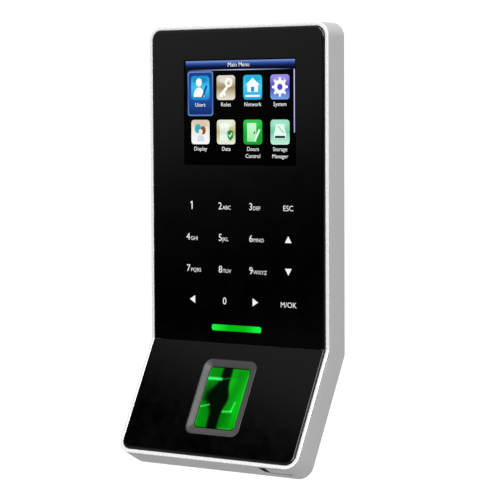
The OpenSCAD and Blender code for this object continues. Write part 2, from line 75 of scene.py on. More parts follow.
panelLow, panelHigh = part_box("upper_front_panel")
frameLow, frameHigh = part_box("mid_frame")
portAxis = next(m["axis"] for m in frame["record"]["mounts"] if m["name"] == "usb_port")
tilt = atan2(-portAxis[1], -portAxis[2])      # forward lean of the lower section
panelGap = 0.08 * mm                          # half the gap between the two front panels
frontY = panelLow[1]
bendZ = panelLow[2] - panelGap

body = {
    "halfWidth": frameHigh[0],
    "upperLength": frameHigh[2] - bendZ,
    "depth": frameHigh[1] - frontY,
    "cornerRadius": 5.1 * mm,
    "lipWidth": 1.4 * mm,
    "glassThickness": panelHigh[1] - frontY,
}
body["lowerLength"] = (bendZ - frameLow[2] - body["depth"] * sin(tilt)) / cos(tilt)


def upright(x, y, z):
    # x across, y inwards from the upper glass, z up from the bend
    x, y, z = np.broadcast_arrays(x, y, z)
    return np.stack([x, frontY + y, bendZ + z], axis=-1)


def sloped(x, y, z):
    # the same three, in the lower section's own leaning frame
    x, y, z = np.broadcast_arrays(x, y, z)
    c, s = cos(tilt), sin(tilt)
    return np.stack([x, frontY + y * c + z * s, bendZ + z * c - y * s], axis=-1)


view = {
    "azimuth": radians(35.684),     # to the object's right of straight on
    "pitch": radians(-3.538),       # looking slightly down
    "roll": radians(-0.259),
    "distance": 781.94 * mm,
    "focal": 156.938,               # mm on a 36 mm sensor
    "aim": (4.2 * mm, 3.0 * mm, -1.1 * mm),   # from the middle of the CAD box
}


def linkObject(name, data):
    item = bpy.data.objects.new(name, data)
    bpy.context.collection.objects.link(item)
    return item


def addCamera():
    # the camera looks along the azimuth and pitch at the aim point, from the given distance
    middle = (Vector(cadBounds[0]) + Vector(cadBounds[1])) / 2
    turned, pitch = view["azimuth"], view["pitch"]
    forward = Vector((-sin(turned) * cos(pitch), cos(turned) * cos(pitch), sin(pitch)))
    facing = forward.to_track_quat("-Z", "Y").to_matrix() @ Matrix.Rotation(view["roll"], 3, "Z")
    data = bpy.data.cameras.new("camera")
    data.lens = view["focal"]
    data.clip_start = 0.01
    camera = linkObject("camera", data)
    place = middle + Vector(view["aim"]) - forward * view["distance"]
    camera.matrix_world = Matrix.Translation(place) @ facing.to_4x4()
    bpy.context.scene.camera = camera


def hexColour(code, alpha=1.0):
    # sRGB hex to linear light, by the standard curve
    parts = [int(code[i:i + 2], 16) / 255 for i in (1, 3, 5)]
    return tuple(c / 12.92 if c <= 0.04045 else ((c + 0.055) / 1.055) ** 2.4 for c in parts) + (alpha,)


studio = {
    "floorDrop": 0.30,              # the floor is this far below the object, which hangs on a wall
    "floorSize": 1.6,
    "keyLight": 6.0,
    "sideLight": 1.2,
    "topLight": 3.5,
    "white": 1.1,                   # brightness of the plain surroundings
    "up": (-0.23, 0, 1),            # height in the room is measured along this
    "upRange": (-0.864, 1.136),
    "back": (0.35, 1, 0),           # and how far round behind the object along this
    "backRange": (-0.62, -0.1),
    # brightness ahead of the object at each height from 0 to 1
    "aheadRise": [
        (0.0, 0.2), (0.44, 0.06), (0.455, 0.0), (0.47, 0.02), (0.485, 0.07), (0.50, 0.23), (0.52, 0.34),
        (0.62, 0.6), (0.76, 0.15), (0.785, 0.0), (0.787, 0.004), (0.790, 0.02), (0.794, 0.08),
        (0.7965, 0.17), (0.80, 0.28), (0.85, 0.4), (1.0, 1.0)],
    # the same beside and behind it
    "roundRise": [(0.0, 0.2), (0.40, 0.62), (0.55, 0.95), (1.0, 1.05)],
}


def addNode(tree, kind, settings=None, links=None):
    # one node with its settings and its incoming links, {socket: (node, output)}
    node = tree.nodes.new(kind)
    for key, value in (settings or {}).items():
        if isinstance(key, str) and hasattr(node, key):
            setattr(node, key, value)
        else:
            node.inputs[key].default_value = value
    for key, (source, output) in (links or {}).items():
        tree.links.new(source.outputs[output], node.inputs[key])
    return node


def addLight(name, place, aim, size, power):
    data = bpy.data.lights.new(name, "AREA")
    data.shape = "RECTANGLE"
    data.size, data.size_y = size
    data.energy = power
    light = linkObject(name, data)
    light.location = place
    light.rotation_euler = (Vector(aim) - Vector(place)).to_track_quat("-Z", "Y").to_euler()
    light.visible_camera = False


addCamera()
bpy.context.scene.view_settings.view_transform = "Standard"


def addRoom():
    # plain white to the eye; what the object mirrors is a soft room, darkest low down and
    # straight ahead
    world = bpy.data.worlds.new("studio")
    world.use_nodes = True
    tree = world.node_tree
    tree.nodes.clear()
    coords = addNode(tree, "ShaderNodeTexCoord")
    way = {0: (coords, "Generated")}            # the direction looked in
    rise = addNode(tree, "ShaderNodeVectorMath", {"operation": "DOT_PRODUCT", 1: studio["up"]}, way)
    low, high = studio["upRange"]
    height = addNode(tree, "ShaderNodeMapRange", {"From Min": low, "From Max": high},
                     {"Value": (rise, "Value")})
    ramps = []
    for key in ("aheadRise", "roundRise"):
        ramp = addNode(tree, "ShaderNodeValToRGB", {}, {"Fac": (height, "Result")})
        stops = ramp.color_ramp.elements
        for place, level in studio[key][1:-1]:
            stops.new(place)
        for stop, (place, level) in zip(stops, studio[key]):
            stop.position = place
            stop.color = (level, level, level, 1)
        ramps.append(ramp)
    turned = addNode(tree, "ShaderNodeVectorMath", {"operation": "DOT_PRODUCT", 1: studio["back"]}, way)
    low, high = studio["backRange"]
    settings = {"From Min": low, "From Max": high, "interpolation_type": "SMOOTHSTEP"}
    across = addNode(tree, "ShaderNodeMapRange", settings, {"Value": (turned, "Value")})
    room = addNode(tree, "ShaderNodeMix", {"data_type": "RGBA"}, {"Factor": (across, "Result")})
    tree.links.new(ramps[0].outputs["Color"], room.inputs["A"])
    tree.links.new(ramps[1].outputs["Color"], room.inputs["B"])
    soft = addNode(tree, "ShaderNodeBackground", {"Strength": 1.0})
    tree.links.new(room.outputs["Result"], soft.inputs["Color"])
    plain = addNode(tree, "ShaderNodeBackground", {
        "Strength": studio["white"], "Color": hexColour("#ffffff")})
    path = addNode(tree, "ShaderNodeLightPath")
    both = addNode(tree, "ShaderNodeMixShader", {}, {
        0: (path, "Is Camera Ray"), 1: (soft, "Background"), 2: (plain, "Background")})
    addNode(tree, "ShaderNodeOutputWorld", {}, {"Surface": (both, "Shader")})
    bpy.context.scene.world = world


addRoom()
addLight("key_softbox", (0.25, -0.95, 0.35), (0, 0, 0), (0.5, 0.5), studio["keyLight"])
addLight("side_softbox", (0.9, -0.5, 0.25), (0, 0, 0), (0.6, 0.9), studio["sideLight"])
addLight("top_softbox", (-0.12, -0.85, 0.6), (0, 0, 0), (0.35, 0.35), studio["topLight"])
print("camera and lights placed")


def gridFaces(rows, columns, closeRows=False, closeColumns=False, start=0):
    # quads of a rows x columns grid of points, numbered row by row
    r = np.arange(rows if closeRows else rows - 1)
    c = np.arange(columns if closeColumns else columns - 1)
    r, c = np.meshgrid(r, c, indexing="ij")
    r2, c2 = (r + 1) % rows, (c + 1) % columns
    quads = np.stack([r * columns + c, r * columns + c2, r2 * columns + c2, r2 * columns + c], axis=-1)
    return (quads.reshape(-1, 4) + start).tolist()


def tintPoints(mesh, colours):
    # the colour attribute that litPicture's materials read
    layer = mesh.color_attributes.new("tint", "FLOAT_COLOR", "POINT")
    layer.data.foreach_set("color", np.asarray(colours, np.float32).reshape(-1))


def addPiece(name, points, faces, material, rides="terminal", stands=(), sharp=20,
             colours=None):
    # one mesh object; faces are turned outwards by the sign of the enclosed volume
    mesh = bpy.data.meshes.new(name)
    mesh.from_pydata(np.asarray(points, float).reshape(-1, 3).tolist(), [], faces)
    if colours is not None:
        tintPoints(mesh, colours)
    work = bmesh.new()
    work.from_mesh(mesh)
    bmesh.ops.recalc_face_normals(work, faces=work.faces)
    if work.calc_volume(signed=True) < 0:
        bmesh.ops.reverse_faces(work, faces=work.faces)
    work.to_mesh(mesh)
    work.free()
    mesh.shade_smooth()
    mesh.set_sharp_from_angle(angle=radians(sharp))
    piece = linkObject(name, mesh)
    mesh.materials.append(material)
    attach(piece, rides)
    if stands:
        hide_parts(*stands)
    return piece


def dress(material, *names):
    # gives carried-over CAD nodes their finish
    for name in names:
        item = nodes[name]
        if not item.material_slots:
            item.data.materials.append(material)
        for place in item.material_slots:
            place.material = material


arcSteps = 14
support = 0.4 * mm                  # extra points beside each arc keep the flat stretches flat


def cornerGrid(inset, length):
    # right-hand outer corner of a section:
    # (half width - inset - r + r cos a, length - inset - r + r sin a)
    angle = np.concatenate([[0], np.linspace(0, pi / 2, arcSteps + 1), [pi / 2]])
    alongX = np.zeros_like(angle)
    alongZ = np.zeros_like(angle)
    alongX[-1] = -support
    alongZ[0] = -support
    inset = np.asarray(inset, float)[:, None]
    r = np.maximum(body["cornerRadius"] - inset, 0.6 * mm)
    x = body["halfWidth"] - inset - r + r * np.cos(angle) + alongX
    z = length - inset - r + r * np.sin(angle) + alongZ
    return x, z


def bentLoop(inset, depth):
    # a profile of (inset, depth) points carried round both sections, mitred where they meet
    inset, depth = np.asarray(inset, float), np.asarray(depth, float)
    d = depth[:, None]
    side = (body["halfWidth"] - inset)[:, None]
    mitre = -d * tan(tilt / 2)
    x, z = cornerGrid(inset, body["upperLength"])
    u, w = cornerGrid(inset, body["lowerLength"])
    return np.concatenate([
        upright(side, d, mitre), upright(x, d, z),
        upright(-x[:, ::-1], d, z[:, ::-1]), upright(-side, d, mitre),
        sloped(-u, d, -w), sloped(u[:, ::-1], d, -w[:, ::-1])], axis=1)


def sectionLoop(place, inset, depth, length, turn):
    # the same profile round one section, closed along the bend by a straight edge
    inset, depth = np.asarray(inset, float), np.asarray(depth, float)
    d = depth[:, None]
    side = (body["halfWidth"] - inset)[:, None]
    x, z = cornerGrid(inset, length)
    gap = np.full_like(side, panelGap)
    return np.concatenate([
        place(side, d, turn * gap), place(x, d, turn * z), place(-x[:, ::-1], d, turn * z[:, ::-1]),
        place(-side, d, turn * gap)], axis=1)


def roundedLoop(width, length, radius, steps=8):
    # rounded rectangle as (x, z) points, each corner a quarter circle with a support point at both ends
    a = np.concatenate([[0], np.linspace(0, pi / 2, steps + 1), [pi / 2]])
    slack = min(support, (min(width, length) / 2 - radius) / 2)
    x = width / 2 - radius + radius * np.cos(a)
    z = length / 2 - radius + radius * np.sin(a)
    x[-1] -= slack
    z[0] -= slack
    return np.concatenate([np.stack([x, z], 1), np.stack([-x[::-1], z[::-1]], 1),
                           np.stack([-x, -z], 1), np.stack([x[::-1], -z[::-1]], 1)])


def capFaces(outer, start, hole=None, holeStart=0):
    # triangles that fill a flat loop, leaving out a hole; start numbers its first point
    loops = [[Vector(p) for p in outer]]
    numbers = [start + i for i in range(len(outer))]
    if hole is not None:
        loops.append([Vector(p) for p in hole])
        numbers += [holeStart + i for i in range(len(hole))]
    return [[numbers[i] for i in face] for face in tessellate_polygon(loops)]


def startMaterial(name, **sockets):
    # a Principled material with constants on its own sockets
    material = bpy.data.materials.new(name)
    material.use_nodes = True
    tree = material.node_tree
    shader = tree.nodes["Principled BSDF"]
    for key, value in sockets.items():
        shader.inputs[key].default_value = value
    return material, tree, shader


def grain(tree, shader, size, low, high, bump=0.0, height=0.01 * mm, rough=None, detail=3.0,
          stretch=(1, 1, 1)):
    # noise of one real grain size tints the colour, and may drive a bump and the roughness
    coords = addNode(tree, "ShaderNodeTexCoord")
    mapping = addNode(tree, "ShaderNodeMapping", {"Scale": stretch}, {"Vector": (coords, "Object")})
    noise = addNode(tree, "ShaderNodeTexNoise", {"Scale": 1 / size, "Detail": detail, "Roughness": 0.6},
                    {"Vector": (mapping, "Vector")})
    ramp = addNode(tree, "ShaderNodeValToRGB", {}, {"Fac": (noise, "Fac")})
    ramp.color_ramp.elements[0].position = 0.3
    ramp.color_ramp.elements[1].position = 0.7
    ramp.color_ramp.elements[0].color = hexColour(low)
    ramp.color_ramp.elements[1].color = hexColour(high)
    tree.links.new(ramp.outputs["Color"], shader.inputs["Base Color"])
    if bump:
        relief = addNode(tree, "ShaderNodeBump", {"Strength": bump, "Distance": height},
                         {"Height": (noise, "Fac")})
        tree.links.new(relief.outputs["Normal"], shader.inputs["Normal"])
    if rough:
        settings = {"From Min": 0.3, "From Max": 0.7, "To Min": rough[0], "To Max": rough[1]}
        gloss = addNode(tree, "ShaderNodeMapRange", settings, {"Value": (noise, "Fac")})
        tree.links.new(gloss.outputs["Result"], shader.inputs["Roughness"])


def silverPaint():
    # fine metallic paint sprayed on moulded ABS: a soft satin grey with a faint flake sparkle
    material, tree, shader = startMaterial("sprayed_silver_paint", Metallic=0.35, Roughness=0.42)
    grain(tree, shader, 0.12 * mm, "#c0c0c1", "#cbcbcc", bump=0.06, rough=(0.36, 0.48))
    return material


def brightTrim():
    # bright lip, its polished reflection painted into an almost white base colour, with a tight
    # highlight
    material, tree, shader = startMaterial("polished_trim_painted_reflection", Metallic=0.2, Roughness=0.24)
    grain(tree, shader, 0.6 * mm, "#e6e6e7", "#f0f0f0", rough=(0.2, 0.3))
    return material


def printedGlass():
    # toughened glass printed black behind: deep black with a clean reflection
    material, tree, shader = startMaterial("black_printed_glass", Roughness=0.05)
    grain(tree, shader, 8 * mm, "#000000", "#020202", rough=(0.04, 0.08))
    return material


def glossFascia():
    # gloss black polycarbonate, a little less flat than the glass
    material, tree, shader = startMaterial("gloss_black_polycarbonate", Roughness=0.08)
    grain(tree, shader, 5 * mm, "#000000", "#020202", bump=0.03, height=0.02 * mm, rough=(0.06, 0.11))
    return material


def darkAbs():
    # spark-textured dark grey ABS: matt, with a fine pebble
    material, tree, shader = startMaterial("textured_grey_abs", Roughness=0.6)
    grain(tree, shader, 0.25 * mm, "#2b2b2d", "#3a3a3c", bump=0.35, height=0.03 * mm, rough=(0.5, 0.68))
    return material


def zincSteel():
    # zinc-plated sheet: cool grey with soft cloudy patches
    material, tree, shader = startMaterial("zinc_plated_steel", Metallic=1.0, Roughness=0.34)
    grain(tree, shader, 6 * mm, "#9ea2a6", "#c3c6c8", rough=(0.26, 0.42), detail=6.0)
    return material


def nickelSteel():
    # nickel-plated small parts: warm bright metal with turning marks
    material, tree, shader = startMaterial("nickel_plated_steel", Metallic=1.0, Roughness=0.25)
    grain(tree, shader, 0.3 * mm, "#b9b5ab", "#d6d2c8", bump=0.1, rough=(0.2, 0.32), stretch=(1, 1, 4))
    return material


def closedFoam():
    # closed-cell foam: dull black with small pores
    material, tree, shader = startMaterial("closed_cell_foam", Roughness=0.95)
    grain(tree, shader, 0.35 * mm, "#101010", "#232323", bump=0.8, height=0.08 * mm)
    return material


def boardMask():
    # green solder mask over glass epoxy in two near shades, copper tracks showing as paler lines
    material, tree, shader = startMaterial("solder_mask_board", Roughness=0.3)
    coords = addNode(tree, "ShaderNodeTexCoord")
    settings = {"Scale": 1 / (9 * mm), "Mortar Size": 0.03, "Mortar Smooth": 0.1,
                "Color1": hexColour("#0b4a26"), "Color2": hexColour("#0d5630"),
                "Mortar": hexColour("#2a8a4c")}
    brick = addNode(tree, "ShaderNodeTexBrick", settings, {"Vector": (coords, "Object")})
    tree.links.new(brick.outputs["Color"], shader.inputs["Base Color"])
    return material


def mouldedEpoxy():
    # moulded epoxy and dark component plastic: near-black, very fine matt grain
    material, tree, shader = startMaterial("moulded_epoxy", Roughness=0.5)
    grain(tree, shader, 0.1 * mm, "#141416", "#202022", bump=0.2, rough=(0.42, 0.58))
    return material


def whitePlastic():
    # white nylon and diffusing acrylic: soft white with slight mottling
    material, tree, shader = startMaterial("white_nylon", Roughness=0.45)
    shader.inputs["Subsurface Weight"].default_value = 0.1
    shader.inputs["Subsurface Radius"].default_value = (1 * mm, 1 * mm, 1 * mm)
    grain(tree, shader, 1.2 * mm, "#dcd9cf", "#edebe4", rough=(0.4, 0.52))
    return material


def polyimideFilm():
    # polyimide ribbon: amber film with copper lines under it
    material, tree, shader = startMaterial("polyimide_film", Roughness=0.28)
    coords = addNode(tree, "ShaderNodeTexCoord")
    lines = addNode(tree, "ShaderNodeTexWave", {"bands_direction": "X", "Scale": 1 / (3.2 * mm)},
                    {"Vector": (coords, "Object")})
    ramp = addNode(tree, "ShaderNodeValToRGB", {}, {"Fac": (lines, "Fac")})
    ramp.color_ramp.elements[0].color = hexColour("#8a4a12")
    ramp.color_ramp.elements[1].color = hexColour("#c98432")
    tree.links.new(ramp.outputs["Color"], shader.inputs["Base Color"])
    return material


def goldPlate():
    # thin gold plating: warm yellow metal
    material, tree, shader = startMaterial("gold_plating", Metallic=1.0, Roughness=0.25)
    grain(tree, shader, 0.4 * mm, "#d8ab52", "#eac26e", rough=(0.2, 0.3))
    return material


def phosphorCap():
    # phosphor-filled light cap: pale yellow, slightly translucent
    material, tree, shader = startMaterial("phosphor_cap", Roughness=0.4)
    grain(tree, shader, 0.2 * mm, "#e6d98a", "#f3eab0", bump=0.1)
    return material


def satinGrey():
    # satin grey polycarbonate of the sensor's funnel: faint moulding grain
    material, tree, shader = startMaterial("satin_grey_polycarbonate", Roughness=0.38)
    grain(tree, shader, 0.3 * mm, "#343233", "#3f3c3e", bump=0.12, rough=(0.32, 0.45))
    return material


def litPicture(name, strength, rough):
    # a lit surface whose colour comes from the piece's own tint, under a clear gloss layer
    material, tree, shader = startMaterial(name, Roughness=rough)
    shader.inputs["Specular IOR Level"].default_value = 0.08
    shader.inputs["Base Color"].default_value = hexColour("#000000")
    shader.inputs["Emission Strength"].default_value = strength
    tint = addNode(tree, "ShaderNodeAttribute", {"attribute_name": "tint"})
    coords = addNode(tree, "ShaderNodeTexCoord")
    noise = addNode(tree, "ShaderNodeTexNoise", {"Scale": 1 / (0.8 * mm), "Detail": 2.0},
                    {"Vector": (coords, "Object")})
    fade = addNode(tree, "ShaderNodeMapRange", {"To Min": 0.88, "To Max": 1.06},
                   {"Value": (noise, "Fac")})
    mix = addNode(tree, "ShaderNodeMix", {"data_type": "RGBA", "blend_type": "MULTIPLY", "Factor": 1.0})
    tree.links.new(tint.outputs["Color"], mix.inputs["A"])
    tree.links.new(fade.outputs["Result"], mix.inputs["B"])
    tree.links.new(mix.outputs["Result"], shader.inputs["Emission Color"])
    return material


finish = {make.__name__: make() for make in (
    silverPaint, brightTrim, printedGlass, glossFascia, darkAbs, zincSteel, nickelSteel, closedFoam,
    boardMask, mouldedEpoxy, whitePlastic, polyimideFilm, goldPlate, phosphorCap, satinGrey)}
finish["litDisplay"] = litPicture("lit_display", 1.0, 0.06)
finish["litLegend"] = litPicture("backlit_legend", 1.0, 0.1)
finish["litGreen"] = litPicture("lit_green_acrylic", 1.0, 0.15)
finish["litPrism"] = litPicture("lit_sensor_glass", 1.0, 0.04)
print("materials made:", len(finish))


def trimRing():
    # bright lip with a softened edge, a groove behind it and the ledge that carries the panels,
    # as a profile of (inset, depth) in mm, and a dark strip deep in the groove as painted shade
    lip = body["lipWidth"] / mm - 0.05
    profile = np.array([
        (lip, 1.1), (lip, 0.62), (lip - 0.08, 0.46), (lip - 0.23, 0.40), (0.28, 0.40), (0.09, 0.46),
        (0.0, 0.62), (0.0, 0.80), (0.06, 0.90), (0.88, 0.92), (0.88, 1.3), (1.65, 1.3), (1.65, 1.75),
        (3.6, 1.75), (3.6, 1.1)]) * mm
    points = bentLoop(profile[:, 0], profile[:, 1])
    faces = gridFaces(points.shape[0], points.shape[1], True, True)
    # painted shade: a near-black strip on the groove floor, where the groove falls into shadow
    strip = np.array([(0.57, 0.94), (0.57, 1.28), (0.86, 1.28), (0.86, 0.94)]) * mm
    gap = bentLoop(strip[:, 0], strip[:, 1])
    addPiece("groove_painted_shade", gap, gridFaces(gap.shape[0], gap.shape[1], True, True),
             finish["mouldedEpoxy"])
    addPiece("bright_trim_ring", points, faces, finish["brightTrim"],
             stands=["trim_ring"], sharp=25)


def frontPanel(name, node, place, length, turn, material, hole=None):
    # a plate with a polished quarter-ellipse edge on its three free sides, and an optional rounded hole
    bevelWidth, bevelDepth = 0.7 * mm, 0.56 * mm
    chamfer = 0.12 * mm             # round the hole
    a = np.linspace(0, pi / 2, 7)
    lip = body["lipWidth"]
    thick = body["glassThickness"]
    inset = np.concatenate([[lip + bevelWidth + 0.4 * mm], lip + bevelWidth * (1 - np.sin(a)),
                            [lip, lip + 0.05 * mm]])
    depth = np.concatenate([[0], bevelDepth * (1 - np.cos(a)), [thick - 0.05 * mm, thick]])
    grid = sectionLoop(place, inset, depth, length, turn)
    rows, columns = grid.shape[:2]
    points = [grid.reshape(-1, 3)]
    faces = gridFaces(rows, columns, False, True)
    front, back = grid[0], grid[-1]
    if hole is None:
        faces += capFaces(front, 0) + capFaces(back, (rows - 1) * columns)
    else:
        rim = place(hole[:, 0], chamfer, hole[:, 1])
        middle = (hole.max(axis=0) + hole.min(axis=0)) / 2
        wide = (hole - middle) * (1 + 2 * chamfer / np.ptp(hole, axis=0)) + middle
        top = place(wide[:, 0], 0, wide[:, 1])
        low = place(hole[:, 0], thick, hole[:, 1])
        first = rows * columns
        count = len(hole)
        points += [top, rim, low]
        faces += gridFaces(3, count, False, True, first)
        faces += capFaces(front, 0, top, first)
        faces += capFaces(back, (rows - 1) * columns, low, first + 2 * count)
    addPiece(name, np.concatenate(points), faces, material, stands=[node])


sensor = {
    "width": 23.2 * mm,             # outer size of the funnel
    "length": 28.8 * mm,
    "drop": 6.4 * mm,               # from the bend
    "glassWidth": 18 * mm,
    "glassLength": 23.6 * mm,
    "glassDepth": 0.8 * mm,
    "glassThickness": 2.8 * mm,
    "backDepth": 2.4 * mm,
}
sensorMiddle = -(sensor["drop"] + sensor["length"] / 2)


def sensorBezel():
    # rounded-rectangle loops from the rim down the funnel to the glass, and back round outside
    s = sensor
    levels = [  # width, length, corner radius, depth
        (s["width"], s["length"], 3.0 * mm, 0.14 * mm),
        (s["width"] - 0.12 * mm, s["length"] - 0.12 * mm, 2.95 * mm, 0.03 * mm),
        (s["width"] - 0.35 * mm, s["length"] - 0.35 * mm, 2.85 * mm, 0.0),
        (s["width"] - 0.7 * mm, s["length"] - 0.7 * mm, 2.7 * mm, 0.05 * mm),
        (s["width"] - 0.9 * mm, s["length"] - 0.9 * mm, 2.65 * mm, 0.16 * mm),
        (s["glassWidth"] + 0.3 * mm, s["glassLength"] + 0.3 * mm, 1.7 * mm, s["glassDepth"] - 0.1 * mm),
        (s["glassWidth"], s["glassLength"], 1.6 * mm, s["glassDepth"]),
        (s["glassWidth"], s["glassLength"], 1.6 * mm, s["backDepth"]),
        (s["width"] + 2.4 * mm, s["length"] + 2.4 * mm, 3.0 * mm, s["backDepth"]),
        (s["width"] + 2.4 * mm, s["length"] + 2.4 * mm, 3.0 * mm, 1.15 * mm),
        (s["width"], s["length"], 3.0 * mm, 1.15 * mm)]
    rings = []
    for width, length, radius, depth in levels:
        loop = roundedLoop(width, length, radius)
        rings.append(sloped(loop[:, 0], depth, loop[:, 1] + sensorMiddle))
    points = np.stack(rings)
    faces = gridFaces(points.shape[0], points.shape[1], True, True)
    addPiece("sensor_funnel", points, faces, finish["satinGrey"],
             stands=["sensor_bezel"])


def smooth(low, high, value):
    # 0 below low, 1 above high, easing between them by 3t^2 - 2t^3
    t = np.clip((value - low) / (high - low), 0, 1)
    return t * t * (3 - 2 * t)


def sensorGlass():
    # rounded block whose front is a fine grid, tinted by where the light guide below shines through:
    # two green sides, a dark waist and oval between them, and a few bright edges of the prism
    s = sensor
    columns, rows = 90, 120
    w, l, r = s["glassWidth"] - 0.3 * mm, s["glassLength"] - 0.3 * mm, 1.5 * mm
    u, v = np.meshgrid(np.linspace(0, 1, columns), np.linspace(0, 1, rows))
    z = (0.5 - v) * l
    reach = np.sqrt(np.maximum(r ** 2 - np.maximum(np.abs(z) - (l / 2 - r), 0) ** 2, 0))
    half = w / 2 - r + reach
    x = (2 * u - 1) * half
    y = np.full_like(x, s["glassDepth"] + 0.02 * mm)
    left = 0.33 - 0.16 * np.exp(-((v - 0.48) / 0.17) ** 2) - 0.03 * smooth(0.6, 1, v)
    right = 0.56 + 0.10 * np.exp(-((v - 0.50) / 0.16) ** 2)
    softness = 0.03 + 0.13 * np.exp(-((v - 0.5) / 0.25) ** 2)
    leftGreen = 1 - smooth(left - softness, left + 0.02, u)
    rightGreen = smooth(right - 0.02 - 0.2 * softness, right + 0.03, u)
    level = leftGreen * (0.62 - 0.42 * np.exp(-((v - 0.45) / 0.16) ** 2) + 0.12 * (1 - u / 0.3))
    level = level + rightGreen * (0.74 + 0.26 * np.sin(7 * u + 2.5 * v) ** 2)
    inner = smooth(0.5, 0.6, u)
    level = level * (1 - 0.28 * smooth(0.72, 0.75, v) * inner * (1 - smooth(0.82, 0.88, u)))
    level = level * (1 - 0.16 * (1 - smooth(0.15, 0.19, v)) * inner * (1 - smooth(0.8, 0.84, u)))
    slant = np.exp(-((v - 0.3 - 0.25 * (1 - u)) / 0.03) ** 2)
    level = level * (1 - 0.2 * slant * (1 - smooth(0.3, 0.4, u)))

    def streak(u0, v0, u1, v1, thick, power):
        # brightness falling off with distance from a segment
        du, dv = u1 - u0, (v1 - v0) * l / w
        pu, pv = u - u0, (v - v0) * l / w
        t = np.clip((pu * du + pv * dv) / (du * du + dv * dv), 0, 1)
        return power * np.exp(-((pu - t * du) ** 2 + (pv - t * dv) ** 2) / thick ** 2)

    glow = (streak(0.0, 0.19, 0.34, 0.19, 0.028, 1.2) + streak(0.4, 0.19, 0.54, 0.165, 0.012, 0.25)
            + streak(0.02, 0.66, 0.22, 0.62, 0.018, 0.7) + streak(0.60, 0.715, 0.80, 0.70, 0.018, 0.8)
            + streak(0.80, 0.70, 0.84, 0.55, 0.016, 0.8) + streak(0.99, 0.1, 0.99, 0.95, 0.018, 0.5)
            + streak(0.01, 0.05, 0.01, 0.95, 0.014, 0.35) + streak(0.62, 0.99, 0.93, 0.99, 0.014, 0.5))
    edge = np.minimum.reduce([u, 1 - u, v, 1 - v])
    shade = smooth(0, 0.02, edge)
    red = (0.0003 + 0.002 * level + 0.05 * glow) * shade
    green = (0.004 + 0.5 * level ** 1.6 + 0.75 * glow) * shade
    blue = (0.0008 + 0.006 * level + 0.22 * glow ** 2) * shade
    tint = np.stack([red, green, blue, np.ones_like(red)], -1)
    top = sloped(x, y, z + sensorMiddle)
    back = sloped(x, y + s["glassThickness"], z + sensorMiddle)
    # the block's sides join the borders of the two grids
    count = rows * columns
    faces = gridFaces(rows, columns) + gridFaces(rows, columns, start=count)
    border = np.concatenate([np.arange(columns), np.arange(1, rows) * columns + columns - 1,
                             (rows - 1) * columns + np.arange(columns - 2, -1, -1),
                             np.arange(rows - 2, 0, -1) * columns])
    after = np.roll(border, -1)
    faces += np.stack([border, after, after + count, border + count], 1).tolist()
    points = np.concatenate([top.reshape(-1, 3), back.reshape(-1, 3)])
    addPiece("sensor_window", points, faces, finish["litPrism"],
             stands=["sensor_prism"], colours=np.concatenate([tint.reshape(-1, 4)] * 2))


def cutOut(piece, cutters):
    # subtracts closed shapes, then keeps the result as the piece's own mesh
    for cutter in cutters:
        step = piece.modifiers.new("cut", "BOOLEAN")
        step.operation = "DIFFERENCE"
        step.solver = "EXACT"
        step.object = cutter
        step.material_mode = "TRANSFER"     # cut faces take the cutter's dark bare plastic, which also serves as painted shade in the opening
    result = bpy.data.meshes.new_from_object(piece.evaluated_get(bpy.context.evaluated_depsgraph_get()))
    piece.modifiers.clear()
    piece.data = result
    for cutter in cutters:
        bpy.data.objects.remove(cutter)


def silverFrame():
    # the wide band: a softened front edge, a barely crowned side, a back edge rounded to the given
    # radius and a plain inner wall, all in mm
    t, r = body["depth"] / mm, 0.8
    crown = np.linspace(1.55, t - 0.9, 8)
    side = 0.06 * ((crown - crown.mean()) / (np.ptp(crown) / 2)) ** 2
    outer = [(0.22, 1.3), (0.12, 1.36)] + list(zip(side, crown))
    for a in np.linspace(0, pi / 2, 6)[1:]:
        outer.append((0.06 + r * (1 - np.cos(a)), t - r + r * np.sin(a)))
    profile = np.array(outer + [(1.6, t), (1.6, 1.3)]) * mm
    points = bentLoop(profile[:, 0], profile[:, 1])
    faces = gridFaces(points.shape[0], points.shape[1], True, True)
    return points, faces


casing = {
    "doorLeft": 25.5 * mm, "doorRight": 34.7 * mm,     # opening for the USB door
    "doorFront": 1.8 * mm, "doorBack": 6.7 * mm,
    "notch": 3.1 * mm,                                 # reach of the finger notch beside it
    "wall": (-1 * mm, 3 * mm),                         # cutters pass through the end wall from and to
}


def boxPoints(place, x0, x1, y0, y1, z0, z1):
    corners = np.array([(x, y, z) for x in (x0, x1) for y in (y0, y1) for z in (z0, z1)])
    faces = [(0, 1, 3, 2), (4, 6, 7, 5), (0, 4, 5, 1), (2, 3, 7, 6), (0, 2, 6, 4), (1, 5, 7, 3)]
    return place(corners[:, 0], corners[:, 1], corners[:, 2]), faces


def plainMesh(name, points, faces):
    mesh = bpy.data.meshes.new(name)
    mesh.from_pydata(points.tolist(), [], faces)
    work = bmesh.new()
    work.from_mesh(mesh)
    bmesh.ops.recalc_face_normals(work, faces=work.faces)
    work.to_mesh(mesh)
    work.free()
    # this dark plastic becomes the walls of the cut opening: bare plastic, darker than the paint as
    # painted shade in the recess
    mesh.materials.append(finish["darkAbs"])
    return linkObject(name, mesh)


